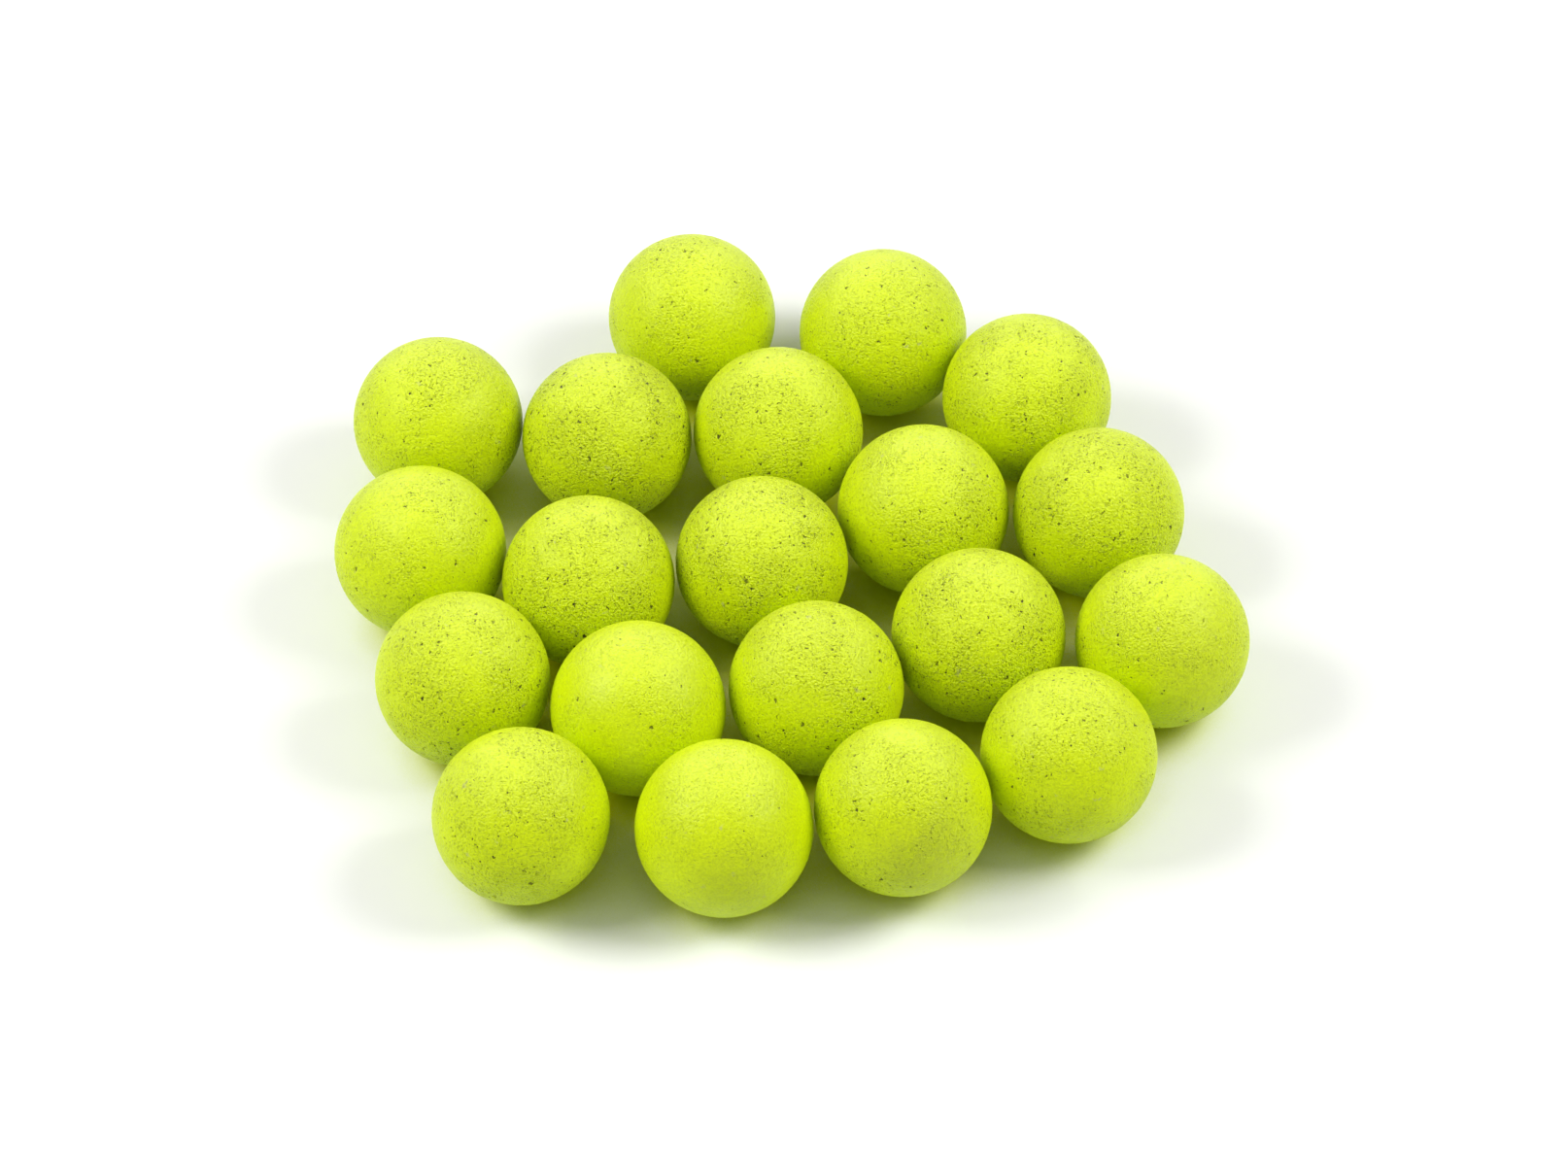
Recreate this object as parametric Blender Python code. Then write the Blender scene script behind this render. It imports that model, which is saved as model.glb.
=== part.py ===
"""A loose set of painted cork balls for table football, lying together on a flat surface.

Each ball is one piece: cork grains pressed and bonded into a block, ground round and painted
all over. Nothing joins one ball to the next, so each is an object of its own with its origin at
its centre, which every axis that it can roll about passes through.

Units are metres and +Z is up. The origin is on the surface that the balls lie on, under the
middle of the set. Seen from the front, along +Y, +X is to the right.
"""

import math

import bmesh
import bpy
from mathutils import Vector

# Driving dimensions of a ball
BALL_DIAMETER = 0.036
FOOT_DEPTH = 0.00015  # what the level facet that a ball stands on takes off its lowest point
EDGE_DIVISIONS = 6  # facets along each edge of the twenty-sided form that is rounded to a ball

# Driving dimensions of the set
CONTACT_GAP = 0.0003  # air between two balls that touch

# The balls lie in five bent rows, here from the back of the set to its front. A row has the place
# of its left ball, as x and y, and a step from each ball to the next, as a length and a heading.
# Lengths are in ball pitches, so a step of 1 is two balls that touch. Headings are in degrees from
# +X, anticlockwise as seen from above.
ROWS = (
    {"start": (-0.54, 1.98), "steps": ((1.14, -8), (1.00, -34))},
    {"start": (-2.03, 1.17), "steps": ((1.00, -9), (1.00, 1), (1.05, -38), (1.01, -3))},
    {"start": (-2.11, 0.14), "steps": ((1.00, -15), (1.00, 7))},
    {"start": (-1.85, -0.84), "steps": ((1.02, -14), (1.01, 7), (1.00, 22), (1.04, -4))},
    {"start": (-1.51, -1.86), "steps": ((1.13, -6), (1.00, 7), (1.00, 21))},
)

# Satin lime-yellow paint
PAINT_COLOUR = (0.62, 0.78, 0.012, 1.0)
PAINT_ROUGHNESS = 0.5

# Sizes that follow from the above
BALL_RADIUS = BALL_DIAMETER / 2
BALL_PITCH = BALL_DIAMETER + CONTACT_GAP
CENTRE_HEIGHT = BALL_RADIUS - FOOT_DEPTH


def clear_scene():
    """Remove every object that the scene holds."""
    for old in list(bpy.data.objects):
        bpy.data.objects.remove(old, do_unlink=True)


def painted_cork():
    """The paint that covers a ball."""
    material = bpy.data.materials.new("painted_cork")
    material.use_nodes = True
    shader = material.node_tree.nodes["Principled BSDF"]
    shader.inputs["Base Color"].default_value = PAINT_COLOUR
    shader.inputs["Roughness"].default_value = PAINT_ROUGHNESS
    shader.inputs["Metallic"].default_value = 0.0
    return material


def round_form():
    """An icosahedron with divided faces, each of its points pushed out to the ball's radius."""
    form = bmesh.new()
    bmesh.ops.create_icosphere(form, subdivisions=1, radius=BALL_RADIUS)
    cuts = EDGE_DIVISIONS - 1
    bmesh.ops.subdivide_edges(form, edges=form.edges[:], cuts=cuts, use_grid_fill=True)
    for point in form.verts:
        point.co = point.co.normalized() * BALL_RADIUS
    return form


def cut_foot(form):
    """Take the lowest point off a ball and close the cut with one level facet."""
    cut = bmesh.ops.bisect_plane(
        form,
        geom=form.verts[:] + form.edges[:] + form.faces[:],
        plane_co=(0, 0, -CENTRE_HEIGHT),
        plane_no=(0, 0, -1),
        clear_outer=True,
    )
    rim = [item for item in cut["geom_cut"] if isinstance(item, bmesh.types.BMEdge)]
    bmesh.ops.contextual_create(form, geom=rim)
    bmesh.ops.recalc_face_normals(form, faces=form.faces[:])


def ball_mesh():
    """The mesh that all the balls share, with the ball's centre at its origin."""
    form = round_form()
    cut_foot(form)
    mesh = bpy.data.meshes.new("ball")
    form.to_mesh(mesh)
    form.free()
    mesh.shade_smooth()
    mesh.materials.append(painted_cork())
    return mesh


def row_places(row):
    """The places of a row's balls, in ball pitches, from its left ball on."""
    place = Vector(row["start"])
    places = [place]
    for length, heading in row["steps"]:
        angle = math.radians(heading)
        place = place + length * Vector((math.cos(angle), math.sin(angle)))
        places.append(place)
    return places


def ball_centres():
    """The centres of the balls, with the middle of the set's box over the origin."""
    places = [place for row in ROWS for place in row_places(row)]
    across = [place.x for place in places]
    along = [place.y for place in places]
    middle = Vector((min(across) + max(across), min(along) + max(along))) / 2
    flat_centres = [(place - middle) * BALL_PITCH for place in places]
    return [Vector((centre.x, centre.y, CENTRE_HEIGHT)) for centre in flat_centres]


def build_set():
    """One object for each ball, numbered row by row from the back left of the set."""
    mesh = ball_mesh()
    for number, centre in enumerate(ball_centres(), start=1):
        ball = bpy.data.objects.new(f"ball_{number:02d}", mesh)
        ball.location = centre
        bpy.context.scene.collection.objects.link(ball)


clear_scene()
build_set()
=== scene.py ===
"""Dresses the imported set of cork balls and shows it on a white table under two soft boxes.

Every ball is a fine round mesh with the grain and the open pores of pressed cork sunk into it,
under satin lime-yellow paint. Relief and paint read the same fields, so a pore is dark where the
mesh is sunk. Lengths are in metres, apart from those in the cork, which are in millimetres.
"""

import math

import bmesh
import bpy
import numpy as np
from mathutils import Matrix, Vector


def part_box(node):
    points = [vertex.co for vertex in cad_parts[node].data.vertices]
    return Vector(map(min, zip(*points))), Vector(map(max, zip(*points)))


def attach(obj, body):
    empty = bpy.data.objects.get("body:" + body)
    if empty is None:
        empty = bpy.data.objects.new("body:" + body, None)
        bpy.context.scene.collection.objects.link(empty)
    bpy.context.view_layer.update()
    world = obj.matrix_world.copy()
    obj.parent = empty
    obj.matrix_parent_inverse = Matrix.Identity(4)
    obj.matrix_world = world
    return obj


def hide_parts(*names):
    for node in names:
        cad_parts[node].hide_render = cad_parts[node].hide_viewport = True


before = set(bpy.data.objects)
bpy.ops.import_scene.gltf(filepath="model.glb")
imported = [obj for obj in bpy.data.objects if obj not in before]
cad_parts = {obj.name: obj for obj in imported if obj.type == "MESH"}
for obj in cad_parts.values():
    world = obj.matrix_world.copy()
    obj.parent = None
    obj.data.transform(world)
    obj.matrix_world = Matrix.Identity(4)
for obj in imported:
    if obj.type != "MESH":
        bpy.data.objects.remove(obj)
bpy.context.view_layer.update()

# The view
CAMERA_ELEVATION = math.radians(47.83)
CAMERA_ROLL = math.radians(-1.18)
CAMERA_DISTANCE = 1.3417
CAMERA_AIM = Vector((-0.0009, -0.0048, 0.0179))
CAMERA_NEAR = 0.01
LENS_MM = 148.5
SENSOR_MM = 36.0

# The lamps. Each stands off from the middle of the set in a direction, and faces it.
BOX = {"away": 0.9, "size": (0.4, 0.4)}
LAMPS = (
    {**BOX, "name": "left_box", "towards": (-0.70, -0.035, 0.70), "watts": 5.07},
    {**BOX, "name": "right_box", "towards": (0.69, -0.025, 0.715), "watts": 4.77},
)
# Panels that only gloss shows
PANELS = (
    {"name": "ceiling", "towards": (0.0, 0.50, 0.87), "away": 1.0, "size": (2.0, 1.8), "watts": 41.0},
    {"name": "back_wall", "towards": (0.0, 0.97, 0.24), "away": 1.5, "size": (3.0, 0.8), "watts": 11.5},
)

# The room and the table
WHITE = (1.0, 1.0, 1.0, 1.0)
WORLD_STRENGTH = 0.39  # as the room lights the set
WORLD_SEEN = 1.0  # as the camera and mirrors see it
FLOOR_SIZE = 6.0
FLOOR_WITH_PAINTED_BOUNCE = (0.75, 0.84, 0.62, 1.0)  # as it lights the balls: painted green-yellow light, standing for what the balls throw on it
FLOOR_SEEN = (0.97, 0.97, 0.97, 1.0)  # as the camera and mirrors see it
FLOOR_PAINTED_SHADE = (0.64, 0.66, 0.00, 1.0)  # as the camera and mirrors see it where balls close over it: painted olive shade
FLOOR_FAR = (3.0, 3.0, 3.0, 1.0)  # the same where the lamps no longer reach it
FAR_RANGE = (0.25, 1.0)  # from the middle of the set, where that change begins and ends
GAP_REACH = 0.03  # how far off a ball still brings painted shade onto the floor
GAP_RANGE = (0.15, 0.56)  # the open share of the sky, from full painted shade in a gap to clear floor
GAP_SAMPLES = 8

# The mesh of a ball, and the fields at its points that the relief and the paint read
MESH_LEVEL = 7
MM_PER_M = 1000.0
BLOCK_STEP_MM = 60.0  # from one ball's place in the cork block to the next ball's
PLACE_FIELD = "cork_place"
SHARE_FIELD = "pore_share"
DULL_FIELD = "dulling"

# Noise runs from 0 to 1
NOISE_MIDDLE = 0.5
NOISE_ROUGHNESS = 0.55

# The cork, in millimetres
GRAIN_MM = 1.1
GRAIN_BEND_MM = 0.5  # how far bends of BEND_SIZE_MM shift the edges of the grains
BEND_SIZE_MM = 1.0
GROOVE_MM = 0.22  # from a groove's middle to its edge
RIPPLE_MM = 0.7
RAGGED_MM = 1.6  # how far tears of TEAR_SIZE_MM shift the edges of the pores
TEAR_SIZE_MM = 0.7
GROOVE_DEPTH_MM = 0.03
GRAIN_DEPTH_MM = 0.02
RIPPLE_DEPTH_MM = 0.11
PORE_DEPTH_MM = 0.15

# Zones of a ball where the cork is closer or more open, as shares of what the ball has
ZONE_MM = 12.0
ZONE_LEVELS = (0.38, 0.62)
ZONE_SHARES = (0.55, 1.45)
ROUGH_BY_PORES = 0.7
ROUGH_BY_ZONE = 0.35

# Creases, along the middle level of a noise and broken by a second one
CREASE_MM = 0.9
CREASE_WIDTHS = (0.04, 0.01)  # from a crease's edge to its full tone, in levels of the noise
BREAK_SIZE = 0.6  # as a share of CREASE_MM
BREAK_LEVELS = (0.52, 0.60)
BREAK_STEP = (7.0, 3.0, 5.0)  # to another part of the block

# Pores of three sizes, in millimetres. A cell of the block has one pore or none, by a chance that
# grows with the ball's share of pores. The block is squeezed before they are scattered in it, so
# they come out long.
PORES = (
    {"cell": 0.7, "radii": (0.05, 0.14), "chance": 0.15, "by_share": 0.4, "squeeze": (1.0, 0.6, 1.0)},
    {"cell": 1.1, "radii": (0.08, 0.22), "chance": 0.0, "by_share": 0.6, "squeeze": (0.5, 1.0, 1.0)},
    {"cell": 1.8, "radii": (0.14, 0.36), "chance": 0.0, "by_share": 0.8, "squeeze": (1.0, 1.0, 0.55)},
)
STAIN_RANGE = (0.7, 1.0)  # how dark pores are
STAIN_EDGE = (1.0, 0.7)  # from a stain's edge to its full tone, in radii of the pore
HOLLOW_EDGE = (1.8, 0.2)  # from a hollow's edge to its full depth, in radii of the pore

# How rough and open the cork of each ball is, row by row from the back left. Most have up to 1.
PORE_SHARES = (
    0.5, 0.5, 0.9,
    0.6, 1.3, 0.8, 0.7, 0.9,
    0.4, 1.0, 1.2,
    0.7, 0.1, 0.7, 1.1, 0.5,
    0.5, 0.0, 0.4, 0.5,
)

# Duller olive patches on single balls, by number: where its middle faces, how far round the ball it
# reaches, and how strong it is
DULL_PATCHES = {
    16: {"towards": (0.45, -0.73, 0.51), "reach": math.radians(50), "strength": 0.20},
    18: {"towards": (0.15, -0.98, 0.12), "reach": math.radians(38), "strength": 0.22},
    19: {"towards": (0.30, -0.94, 0.15), "reach": math.radians(42), "strength": 0.36},
}
DULL_MOTTLE_MM = 2.0  # its mottling
DULL_LEVELS = (0.3, 0.6)
DULL_SHARES = (0.4, 1.0)

# The paint's colours
PALE_PAINT = (0.705, 0.84, 0.001, 1.0)
DEEP_PAINT = (0.61, 0.74, 0.001, 1.0)
PORE_BROWN = (0.040, 0.040, 0.0005, 1.0)
# Olive for the grooves, there thin paint and painted shade, and for the creases, there painted shade
THIN_PAINT_AND_SHADE_OLIVE = (0.28, 0.33, 0.001, 1.0)
SCUFF_GREY = (0.50, 0.47, 0.30, 1.0)
DULL_OLIVE = (0.42, 0.45, 0.06, 1.0)

# The paint's tone: deep to pale at random in wider patches, and with the wrinkles as painted shade in
# their hollows and painted light on their crests
PATCH_MM = 7.0
PATCH_SHARE = 0.3
TONE_LEVELS = (0.36, 0.62)
# How far the grooves (thin paint and painted shade) and the creases (painted shade) go to olive
GROOVE_SHADE = 0.06
CREASE_SHADE = 0.5
SCUFF_MM = 3.0
SCUFF_LEVELS = (0.68, 0.76)
SCUFF_SHADE = 0.35

# The paint's finish
WRINKLE_MM = 0.47
WRINKLE_HEIGHT = 0.00043  # in metres
CREASE_HEIGHT = 0.5  # as a share of WRINKLE_HEIGHT
ROUGHNESS = 0.28
WRINKLE_ROUGHNESS = 0.2
PORE_ROUGHNESS = 0.3
DIFFUSE_ROUGHNESS = 0.3
SPECULAR_LEVEL = 0.22

# Where a mix node keeps its colour sockets
MIX_FACTOR = 0
MIX_FIRST = 6
MIX_SECOND = 7
MIX_RESULT = 2


class Graph:
    """A node tree, with short ways to add nodes that take values or other nodes' outputs."""

    def __init__(self, tree):
        self.tree = tree
        self.tree.nodes.clear()

    def add(self, kind, inputs, **settings):
        node = self.tree.nodes.new(kind)
        for name, value in settings.items():
            setattr(node, name, value)
        for key, value in inputs.items():
            if isinstance(value, bpy.types.NodeSocket):
                self.tree.links.new(value, node.inputs[key])
            else:
                node.inputs[key].default_value = value
        return node

    def math(self, operation, *values):
        return self.add("ShaderNodeMath", dict(enumerate(values)), operation=operation).outputs[0]

    def product(self, *values):
        found = values[0]
        for value in values[1:]:
            found = self.math("MULTIPLY", found, value)
        return found

    def most(self, values):
        """The largest of several values."""
        found = values[0]
        for value in values[1:]:
            found = self.math("MAXIMUM", found, value)
        return found

    def vector(self, operation, *values):
        return self.add("ShaderNodeVectorMath", dict(enumerate(values)), operation=operation).outputs[0]

    def scaled(self, vector, factor):
        node = self.add("ShaderNodeVectorMath", {"Vector": vector, "Scale": factor}, operation="SCALE")
        return node.outputs[0]

    def split(self, vector):
        return self.add("ShaderNodeSeparateXYZ", {0: vector}).outputs

    def ramp(self, value, levels, results=(0.0, 1.0)):
        """Carry a value smoothly from one range to another, and hold it at the ends."""
        inputs = {"Value": value}
        inputs["From Min"], inputs["From Max"] = levels
        inputs["To Min"], inputs["To Max"] = results
        node = self.add("ShaderNodeMapRange", inputs, interpolation_type="SMOOTHSTEP")
        return node.outputs["Result"]

    def noise(self, place, size_mm, detail=0.0):
        inputs = {"Vector": place, "Scale": 1.0 / size_mm, "Detail": detail, "Roughness": NOISE_ROUGHNESS}
        return self.add("ShaderNodeTexNoise", inputs).outputs

    def shifted(self, place, reach_mm, size_mm, detail):
        """A place moved by noise, to bend what is laid out there."""
        colour = self.noise(place, size_mm, detail)["Color"]
        shift = self.vector("SUBTRACT", colour, (NOISE_MIDDLE, NOISE_MIDDLE, NOISE_MIDDLE))
        return self.vector("ADD", place, self.scaled(shift, reach_mm))

    def cells(self, place, size_mm, feature):
        inputs = {"Vector": place, "Scale": 1.0 / size_mm}
        return self.add("ShaderNodeTexVoronoi", inputs, feature=feature).outputs

    def blend(self, factor, first, second):
        inputs = {MIX_FACTOR: factor, MIX_FIRST: first, MIX_SECOND: second}
        return self.add("ShaderNodeMix", inputs, data_type="RGBA").outputs[MIX_RESULT]


class Cork:
    """The fields of pressed cork at a place in the block, as nodes of a mesh tree or a material."""

    def __init__(self, graph, place, pore_share):
        self.graph = graph
        self.ripple = graph.noise(place, RIPPLE_MM, detail=1.0)[0]
        self.lay_grains(graph.shifted(place, GRAIN_BEND_MM, BEND_SIZE_MM, detail=1.0))
        zone = graph.ramp(graph.noise(place, ZONE_MM, detail=2.0)[0], ZONE_LEVELS, ZONE_SHARES)
        share = graph.product(pore_share, zone)
        self.rough = graph.math("MULTIPLY_ADD", share, ROUGH_BY_PORES, graph.product(zone, ROUGH_BY_ZONE))
        self.lay_creases(place)
        self.scatter_pores(graph.shifted(place, RAGGED_MM, TEAR_SIZE_MM, detail=2.0), share)

    def lay_grains(self, place):
        """The grains, each at a level of its own, and the grooves between them."""
        graph = self.graph
        edge = graph.cells(place, GRAIN_MM, "DISTANCE_TO_EDGE")["Distance"]
        self.groove = graph.ramp(graph.product(edge, GRAIN_MM), (GROOVE_MM, 0.0))
        self.grain_level = graph.split(graph.cells(place, GRAIN_MM, "F1")["Color"])[0]

    def lay_creases(self, place):
        """Short thin lines where the skin of the cork is folded."""
        graph = self.graph
        level = graph.noise(place, CREASE_MM, detail=1.0)[0]
        off_line = graph.math("ABSOLUTE", graph.math("SUBTRACT", level, NOISE_MIDDLE))
        elsewhere = graph.vector("ADD", place, BREAK_STEP)
        unbroken = graph.ramp(graph.noise(elsewhere, BREAK_SIZE * CREASE_MM)[0], BREAK_LEVELS)
        self.crease = graph.product(graph.ramp(off_line, CREASE_WIDTHS), unbroken)

    def scatter_pores(self, place, share):
        """How dark the pores of all sizes are at a place, and how deep."""
        found = [self.pores_of_size(place, share, size) for size in PORES]
        self.pore = self.graph.most([dark for dark, deep in found])
        self.hollow = self.graph.most([deep for dark, deep in found])

    def pores_of_size(self, place, share, size):
        """The same for pores of one size."""
        graph = self.graph
        cells = graph.cells(graph.vector("MULTIPLY", place, size["squeeze"]), size["cell"], "F1")
        which_radius, which_cell, which_stain = graph.split(cells["Color"])
        smallest, largest = size["radii"]
        radius = graph.math("MULTIPLY_ADD", which_radius, largest - smallest, smallest)
        reach = graph.math("DIVIDE", graph.product(cells["Distance"], size["cell"]), radius)
        chance = graph.math("MULTIPLY_ADD", share, size["by_share"], size["chance"])
        open_here = graph.math("LESS_THAN", which_cell, chance)
        palest, darkest = STAIN_RANGE
        stain = graph.math("MULTIPLY_ADD", which_stain, darkest - palest, palest)
        dark = graph.product(open_here, stain, graph.ramp(reach, STAIN_EDGE))
        deep = graph.product(open_here, graph.ramp(reach, HOLLOW_EDGE))
        return dark, deep


def cork_relief():
    """A node group that sinks the grain and the pores of the cork into a ball."""
    tree = bpy.data.node_groups.new("cork_relief", "GeometryNodeTree")
    tree.interface.new_socket("Geometry", in_out="INPUT", socket_type="NodeSocketGeometry")
    tree.interface.new_socket("Geometry", in_out="OUTPUT", socket_type="NodeSocketGeometry")
    graph = Graph(tree)
    entry = graph.add("NodeGroupInput", {})
    place = graph.add("GeometryNodeInputNamedAttribute", {"Name": PLACE_FIELD}, data_type="FLOAT_VECTOR")
    share = graph.add("GeometryNodeInputNamedAttribute", {"Name": SHARE_FIELD}, data_type="FLOAT")
    cork = Cork(graph, place.outputs["Attribute"], share.outputs["Attribute"])
    depth = graph.product(cork.grain_level, GRAIN_DEPTH_MM)
    depth = graph.math("MULTIPLY_ADD", cork.groove, GROOVE_DEPTH_MM, depth)
    depth = graph.math("MULTIPLY_ADD", cork.ripple, RIPPLE_DEPTH_MM, depth)
    depth = graph.math("MULTIPLY_ADD", cork.hollow, PORE_DEPTH_MM, depth)
    inward = graph.product(depth, -1.0 / MM_PER_M)
    offset = graph.scaled(graph.add("GeometryNodeInputNormal", {}).outputs[0], inward)
    sunk = graph.add("GeometryNodeSetPosition", {"Geometry": entry.outputs["Geometry"], "Offset": offset})
    graph.add("NodeGroupOutput", {"Geometry": sunk.outputs["Geometry"]})
    return tree


def paint_colour(graph, place, cork, wrinkle):
    """Lime-yellow with mottling and painted shade and light in the wrinkles, olive in the grooves (thin
    paint and painted shade) and creases (painted shade), duller olive in patches, scuffed and stained.
    """
    # Random patches, and the wrinkles as painted shade in their hollows and painted light on their
    # crests.
    patches = graph.math("SUBTRACT", graph.noise(place, PATCH_MM, detail=2.0)[0], NOISE_MIDDLE)
    tone_with_relief_shade = graph.math("MULTIPLY_ADD", patches, PATCH_SHARE, wrinkle)
    colour = graph.blend(graph.ramp(tone_with_relief_shade, TONE_LEVELS), DEEP_PAINT, PALE_PAINT)

    # Painted shade in the creases, and olive in the grooves, there thin paint and painted shade.
    folded = graph.product(cork.crease, graph.product(cork.rough, CREASE_SHADE))
    shade = graph.math("MULTIPLY_ADD", cork.groove, GROOVE_SHADE, folded)
    colour = graph.blend(shade, colour, THIN_PAINT_AND_SHADE_OLIVE)

    # Duller olive patches on the fronts of single balls.
    dulled = graph.add("ShaderNodeAttribute", {}, attribute_name=DULL_FIELD).outputs["Fac"]
    mottling = graph.ramp(graph.noise(place, DULL_MOTTLE_MM, detail=3.0)[0], DULL_LEVELS, DULL_SHARES)
    colour = graph.blend(graph.product(dulled, mottling), colour, DULL_OLIVE)

    scuff = graph.ramp(graph.noise(place, SCUFF_MM, detail=3.0)[0], SCUFF_LEVELS)
    colour = graph.blend(graph.product(scuff, SCUFF_SHADE), colour, SCUFF_GREY)
    return graph.blend(cork.pore, colour, PORE_BROWN)


def painted_cork():
    """Satin paint over cork: mottled, darker in the grooves (thin paint and painted shade) and in the
    creases and wrinkles (painted shade), and broken by open pores.
    """
    material = bpy.data.materials.new("painted_cork")
    material.use_nodes = True
    graph = Graph(material.node_tree)
    place = graph.add("ShaderNodeAttribute", {}, attribute_name=PLACE_FIELD).outputs["Vector"]
    share = graph.add("ShaderNodeAttribute", {}, attribute_name=SHARE_FIELD).outputs["Fac"]
    cork = Cork(graph, place, share)
    wrinkle = graph.noise(place, WRINKLE_MM, detail=2.0)[0]

    roughness = graph.math("MULTIPLY_ADD", wrinkle, WRINKLE_ROUGHNESS, ROUGHNESS)
    roughness = graph.math("MULTIPLY_ADD", cork.pore, PORE_ROUGHNESS, roughness)
    sunk = graph.math("MAXIMUM", cork.pore, graph.product(cork.crease, CREASE_HEIGHT))
    height = graph.product(graph.math("SUBTRACT", wrinkle, sunk), cork.rough)
    bump = graph.add("ShaderNodeBump", {"Height": height, "Strength": 1.0, "Distance": WRINKLE_HEIGHT})
    shader = graph.add("ShaderNodeBsdfPrincipled", {
        "Base Color": paint_colour(graph, place, cork, wrinkle),
        "Roughness": roughness,
        "Diffuse Roughness": DIFFUSE_ROUGHNESS,
        "Specular IOR Level": SPECULAR_LEVEL,
        "Normal": bump.outputs["Normal"],
    })
    graph.add("ShaderNodeOutputMaterial", {"Surface": shader.outputs["BSDF"]})
    return material


def round_blank(radius):
    """A fine round mesh with its centre at the origin."""
    form = bmesh.new()
    bmesh.ops.create_icosphere(form, subdivisions=MESH_LEVEL, radius=radius)
    mesh = bpy.data.meshes.new("round_blank")
    form.to_mesh(mesh)
    form.free()
    mesh.shade_smooth()
    return mesh


def points_of(mesh):
    """A mesh's points, one to a row."""
    found = np.empty(3 * len(mesh.vertices), np.float32)
    mesh.vertices.foreach_get("co", found)
    return found.reshape(-1, 3)


def dulling_on(number, points):
    """How far each point of a ball turns to the duller olive."""
    if number not in DULL_PATCHES:
        return np.zeros(len(points))
    patch = DULL_PATCHES[number]
    middle = np.array(Vector(patch["towards"]).normalized())
    facing = points @ middle / np.linalg.norm(points, axis=1)
    edge = math.cos(patch["reach"])
    return patch["strength"] * np.clip((facing - edge) / (1 - edge), 0, 1)


def add_fields(mesh, number):
    """Give each point of a ball its place in the cork block, its share of pores and how far it turns to
    the duller olive.
    """
    points = points_of(mesh)
    block_corner = np.array((number * BLOCK_STEP_MM, 0.0, 0.0))
    place = mesh.attributes.new(PLACE_FIELD, "FLOAT_VECTOR", "POINT")
    place.data.foreach_set("vector", (points * MM_PER_M + block_corner).astype(np.float32).ravel())
    share = mesh.attributes.new(SHARE_FIELD, "FLOAT", "POINT")
    share.data.foreach_set("value", np.full(len(points), PORE_SHARES[number - 1], np.float32))
    dulling = mesh.attributes.new(DULL_FIELD, "FLOAT", "POINT")
    dulling.data.foreach_set("value", dulling_on(number, points).astype(np.float32))


def sink_relief(piece, relief):
    """Replace a ball's mesh by one with the relief sunk into it."""
    piece.modifiers.new("cork_relief", "NODES").node_group = relief
    shown = piece.evaluated_get(bpy.context.evaluated_depsgraph_get())
    shaped = bpy.data.meshes.new_from_object(shown)
    piece.modifiers.clear()
    piece.data = shaped


def level_foot(mesh, height):
    """Raise the points of a mesh that are below a height to it."""
    points = points_of(mesh)
    points[:, 2] = np.maximum(points[:, 2], height)
    mesh.vertices.foreach_set("co", points.ravel())
    mesh.update()


def add_ball(number, node, blank, relief, material):
    """One painted ball, in place of its solid."""
    low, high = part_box(node)
    radius = (high.y - low.y) / 2
    centre = Vector(((low.x + high.x) / 2, (low.y + high.y) / 2, high.z - radius))
    mesh = blank.copy()
    add_fields(mesh, number)
    mesh.materials.append(material)
    piece = bpy.data.objects.new(f"painted_{node}", mesh)
    piece.location = centre
    bpy.context.scene.collection.objects.link(piece)
    sink_relief(piece, relief)
    level_foot(piece.data, low.z - centre.z)
    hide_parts(node)
    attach(piece, node)


def add_balls():
    """All the balls, in the order of their numbers."""
    nodes = sorted(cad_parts)
    low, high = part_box(nodes[0])
    blank = round_blank((high.y - low.y) / 2)
    relief = cork_relief()
    material = painted_cork()
    for number, node in enumerate(nodes, start=1):
        add_ball(number, node, blank, relief, material)


def add_camera():
    """A long lens in front of the set and above it, turned a little about its own axis."""
    forward = Vector((0, math.cos(CAMERA_ELEVATION), -math.sin(CAMERA_ELEVATION)))
    level_right = Vector((1, 0, 0))
    level_up = level_right.cross(forward)
    right = math.cos(CAMERA_ROLL) * level_right + math.sin(CAMERA_ROLL) * level_up
    up = right.cross(forward)
    data = bpy.data.cameras.new("camera")
    data.lens = LENS_MM
    data.sensor_width = SENSOR_MM
    data.sensor_fit = "HORIZONTAL"
    data.clip_start = CAMERA_NEAR
    camera = bpy.data.objects.new("camera", data)
    turn = Matrix((right, up, -forward)).transposed().to_4x4()
    camera.matrix_world = Matrix.Translation(CAMERA_AIM - CAMERA_DISTANCE * forward) @ turn
    bpy.context.scene.collection.objects.link(camera)
    bpy.context.scene.camera = camera


def add_lamp(wanted):
    """A soft box or a panel, which the camera doesn't see."""
    towards = Vector(wanted["towards"]).normalized()
    data = bpy.data.lights.new(wanted["name"], "AREA")
    data.shape = "RECTANGLE"
    data.size, data.size_y = wanted["size"]
    data.energy = wanted["watts"]
    lamp = bpy.data.objects.new(wanted["name"], data)
    lamp.location = towards * wanted["away"]
    lamp.rotation_euler = towards.to_track_quat("Z", "Y").to_euler()
    lamp.visible_camera = False
    bpy.context.scene.collection.objects.link(lamp)
    return lamp


def add_lamps():
    for wanted in LAMPS:
        add_lamp(wanted)
    for wanted in PANELS:
        add_lamp(wanted).visible_diffuse = False


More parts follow.
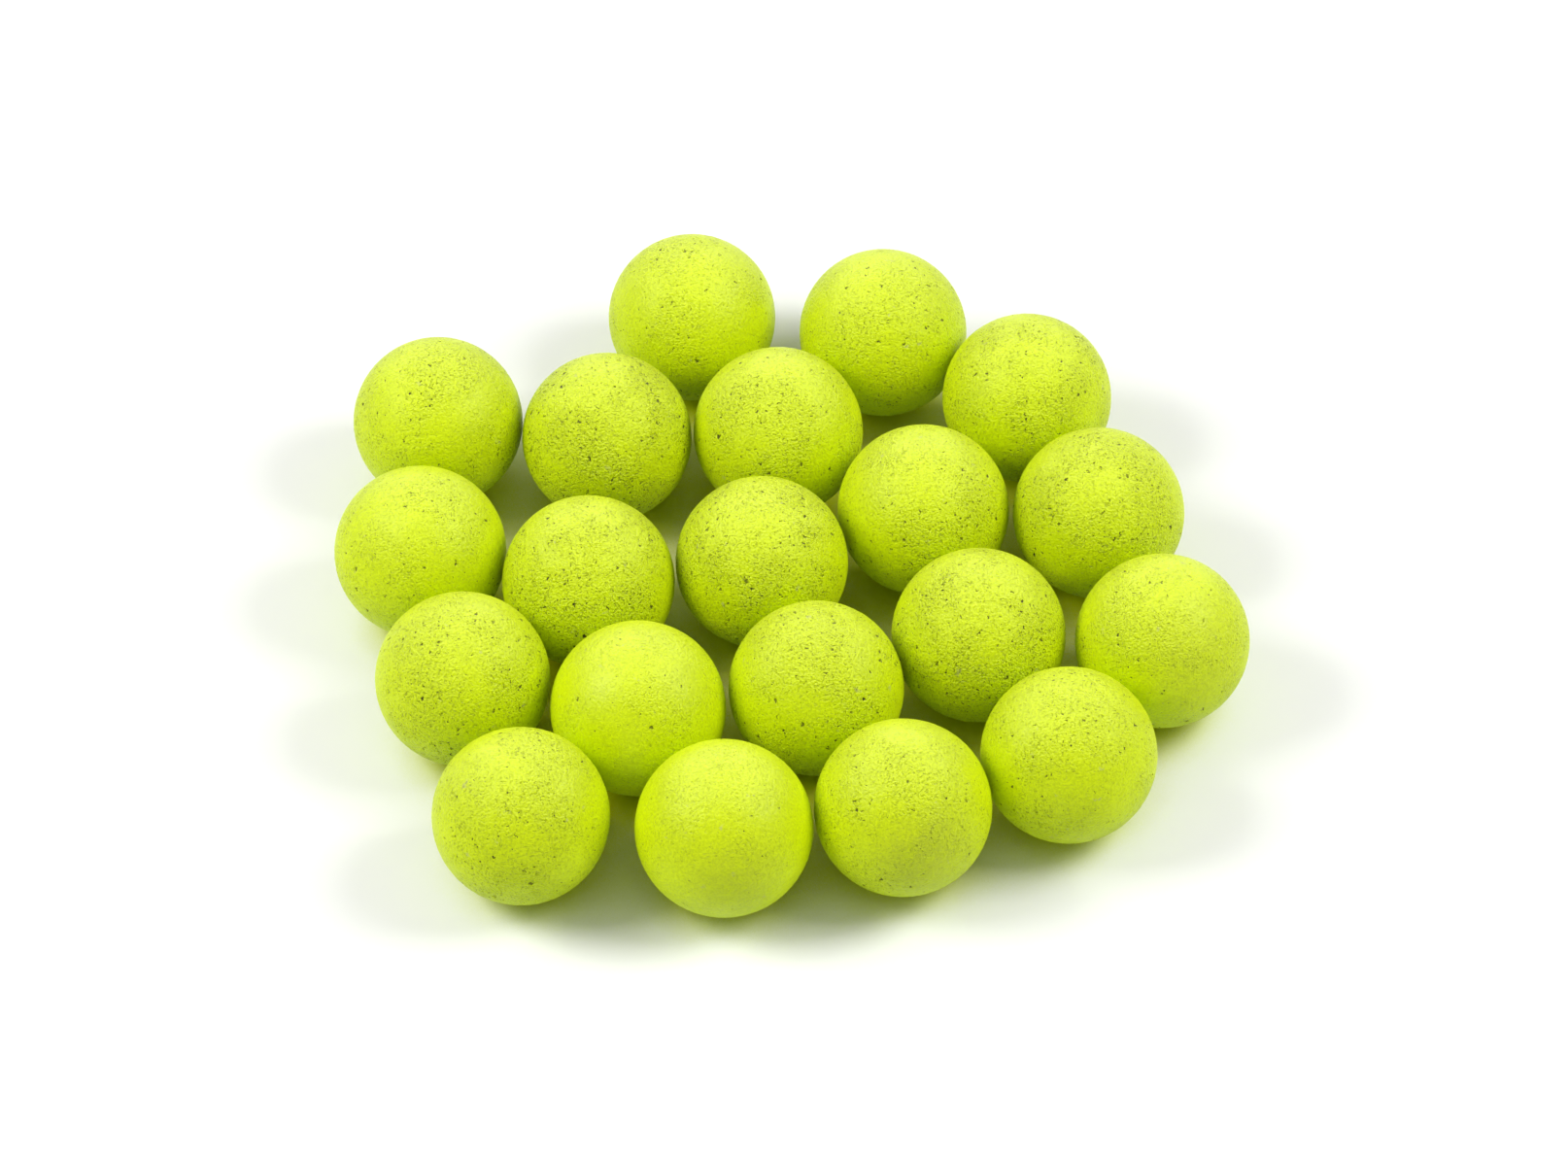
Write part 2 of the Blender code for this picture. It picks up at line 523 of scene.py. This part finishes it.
def seen_directly(graph):
    """1 where a ray from the camera, a mirror or glass meets the backdrop, and 0 for other light."""
    rays = graph.add("ShaderNodeLightPath", {}).outputs
    return graph.most([rays["Is Camera Ray"], rays["Is Glossy Ray"], rays["Is Transmission Ray"]])


def add_world():
    """A white room that lights the set less than it shows."""
    world = bpy.data.worlds.new("white_room")
    world.use_nodes = True
    graph = Graph(world.node_tree)
    strength = graph.ramp(seen_directly(graph), (0.0, 1.0), (WORLD_STRENGTH, WORLD_SEEN))
    room = graph.add("ShaderNodeBackground", {"Color": WHITE, "Strength": strength})
    graph.add("ShaderNodeOutputWorld", {"Surface": room.outputs[0]})
    bpy.context.scene.world = world


def white_table():
    """A matt table that the camera sees white far off, with painted olive shade where balls close over
    it, and that lights the balls in a painted green-yellow tint.
    """
    material = bpy.data.materials.new("white_table")
    material.use_nodes = True
    graph = Graph(material.node_tree)
    place = graph.add("ShaderNodeNewGeometry", {}).outputs["Position"]
    away = graph.add("ShaderNodeVectorMath", {0: place}, operation="LENGTH").outputs["Value"]
    clear = graph.blend(graph.ramp(away, FAR_RANGE), FLOOR_SEEN, FLOOR_FAR)
    # Painted shade: where the balls close over the floor, the camera sees it dark olive.
    sky = graph.add("ShaderNodeAmbientOcclusion", {"Distance": GAP_REACH}, samples=GAP_SAMPLES)
    shown = graph.blend(graph.ramp(sky.outputs["AO"], GAP_RANGE), FLOOR_PAINTED_SHADE, clear)
    colour = graph.blend(seen_directly(graph), FLOOR_WITH_PAINTED_BOUNCE, shown)
    shader = graph.add("ShaderNodeBsdfDiffuse", {"Color": colour})
    graph.add("ShaderNodeOutputMaterial", {"Surface": shader.outputs[0]})
    return material


def add_floor():
    half = FLOOR_SIZE / 2
    corners = [(-half, -half, 0), (half, -half, 0), (half, half, 0), (-half, half, 0)]
    mesh = bpy.data.meshes.new("floor")
    mesh.from_pydata(corners, [], [(0, 1, 2, 3)])
    mesh.materials.append(white_table())
    floor = bpy.data.objects.new("floor", mesh)
    bpy.context.scene.collection.objects.link(floor)


add_camera()
add_lamps()
add_world()
add_floor()
add_balls()
bpy.context.scene.view_settings.view_transform = "Standard"
